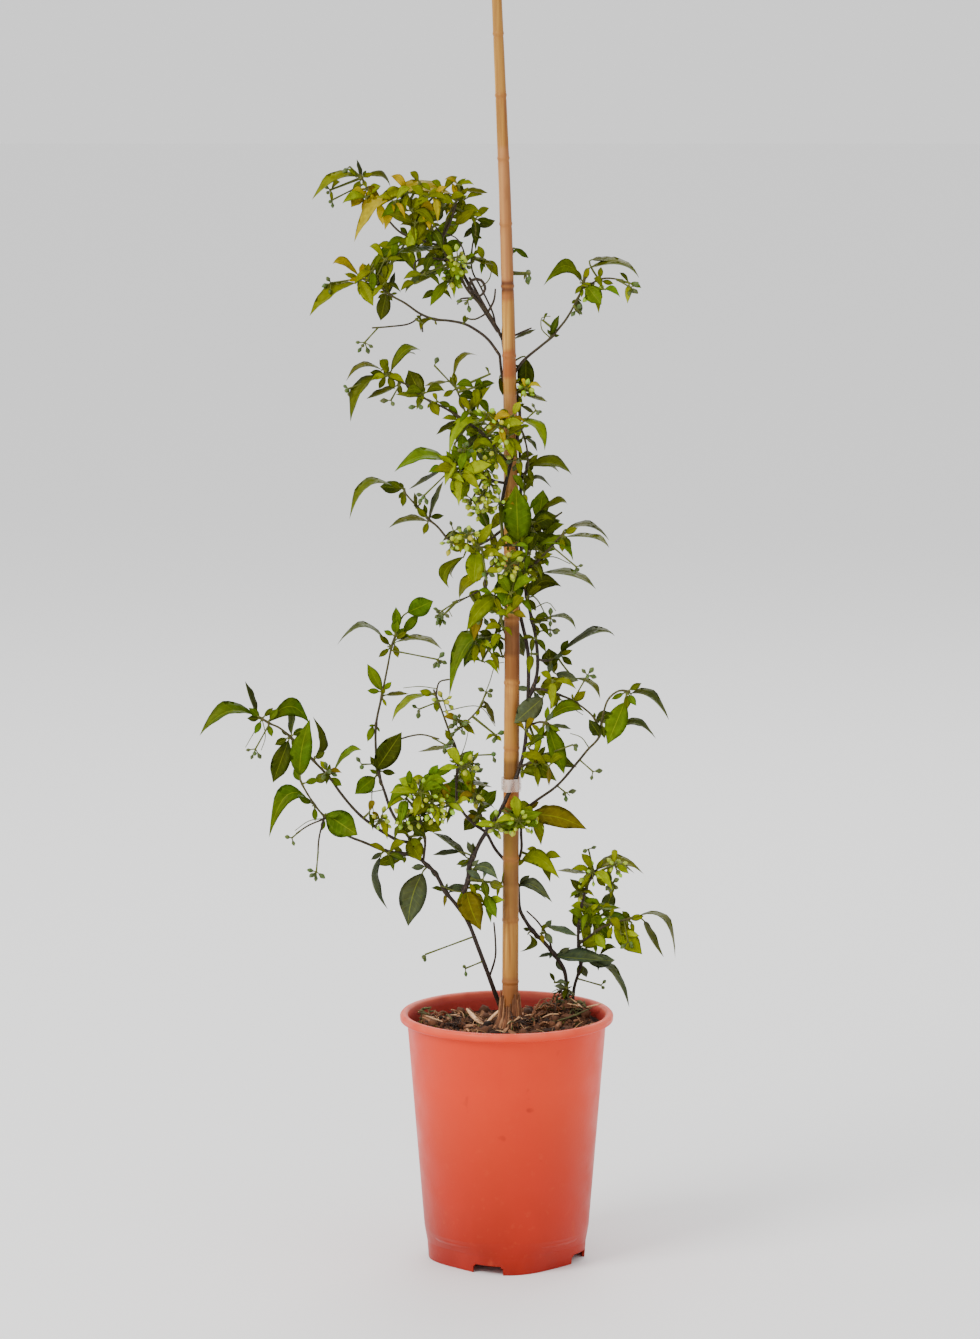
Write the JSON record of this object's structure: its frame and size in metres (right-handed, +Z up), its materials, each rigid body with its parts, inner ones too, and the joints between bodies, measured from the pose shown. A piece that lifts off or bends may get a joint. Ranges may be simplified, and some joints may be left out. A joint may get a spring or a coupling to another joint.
{
  "type": "potted star jasmine",
  "caption": "Young star jasmine in a plastic nursery pot: a sparse climber with leafy shoots and pale buds, twined round a bamboo cane that stands in the potting mix.",
  "frame": {"origin": "middle of the flat pad under the pot, on the surface it stands on", "axes": "+Z up along the cane, -Y towards the side that the picture shows, +X to its right"},
  "size_m": [0.3299, 0.1593, 0.9171],
  "materials": {
    "pot": "smooth terracotta-coloured plastic, satin, with a soft sheen",
    "soil": "dark moist potting mix with pale bark chips and straw",
    "cane": "dry bamboo, satin, with raised rings",
    "tie": "clear to milky tape",
    "stem": "dark brown woody stems with their green leaves",
    "shoot": "leathery green leaves with a waxy gloss on thin brown-green shoots, pale yellow-green buds"
  },
  "bodies": {
    "root": {"cane": "cane", "pot": "pot", "shoot_back_centre": "shoot", "shoot_back_left": "shoot", "shoot_back_low": "shoot", "shoot_back_mid": "shoot", "shoot_back_short": "shoot", "shoot_back_top": "shoot", "shoot_centre_front": "shoot", "shoot_centre_left": "shoot", "shoot_centre_low": "shoot", "shoot_inner_left": "shoot", "shoot_left_back": "shoot", "shoot_left_centre": "shoot", "shoot_left_long": "shoot", "shoot_left_low": "shoot", "shoot_left_whorl": "shoot", "shoot_low_right": "shoot", "shoot_mid_front": "shoot", "shoot_mid_right": "shoot", "shoot_right_back": "shoot", "shoot_right_cluster": "shoot", "shoot_right_front": "shoot", "shoot_right_long": "shoot", "shoot_right_upper": "shoot", "shoot_short_right": "shoot", "shoot_top": "shoot", "shoot_top_left": "shoot", "shoot_top_right": "shoot", "shoot_top_tip": "shoot", "shoot_upper_left": "shoot", "soil": "soil", "stem_left": "stem", "stem_right": "stem", "stem_second": "stem", "stem_short": "stem", "stem_twiner": "stem", "tie": "tie"}
  },
  "joints": []
}
